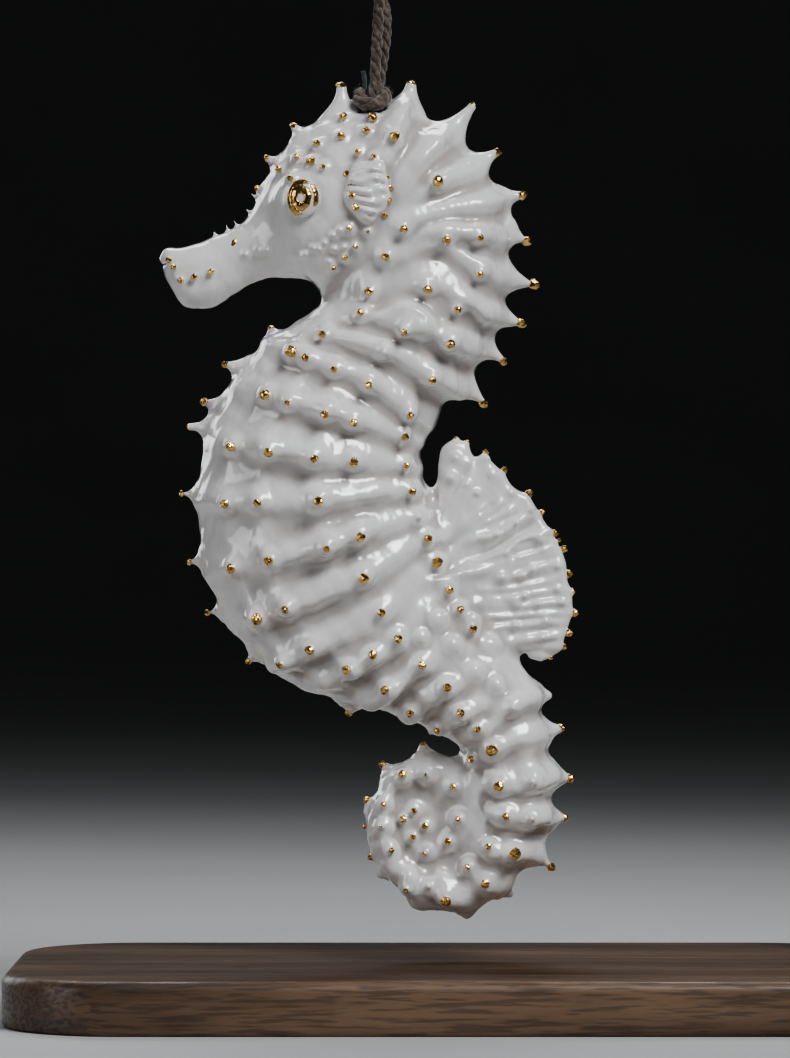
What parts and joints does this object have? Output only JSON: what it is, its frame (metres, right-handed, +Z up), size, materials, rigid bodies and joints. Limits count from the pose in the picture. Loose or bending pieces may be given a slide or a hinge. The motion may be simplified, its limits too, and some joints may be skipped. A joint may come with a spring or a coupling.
{
  "type": "porcelain seahorse ornament",
  "caption": "Glazed porcelain seahorse with a coiled tail and gold lustre dots, hanging by a twisted cord from a small hooked stand.",
  "frame": {"origin": "middle of the stand's foot, on its underside", "axes": "+Z up, -X the way the seahorse looks, +Y its right side; the stand's post rises behind its back, on the +X +Y side"},
  "size_m": [0.1, 0.056, 0.1283],
  "materials": {
    "porcelain": "white porcelain under a clear glossy glaze",
    "gold_lustre": "bright hand-dabbed gold lustre fired on the glaze",
    "cord": "grey-brown twisted cotton cord, slightly fuzzy",
    "stand_wood": "dark oiled walnut with a satin sheen",
    "stand_steel": "blackened steel, satin"
  },
  "bodies": {
    "root": {"snout": "porcelain", "head": "porcelain", "neck": "porcelain", "chest": "porcelain", "belly": "porcelain", "tail": "porcelain", "tail_coil_outer": "porcelain", "tail_coil_inner": "porcelain", "dorsal_fin": "porcelain", "pectoral_fin_left": "porcelain", "pectoral_fin_right": "porcelain", "eye_left": "gold_lustre", "eye_right": "gold_lustre", "cord_hitch": "cord", "cord_loop": "cord", "stand_foot": "stand_wood", "stand_collar": "stand_steel", "stand_rod": "stand_steel"}
  },
  "joints": []
}
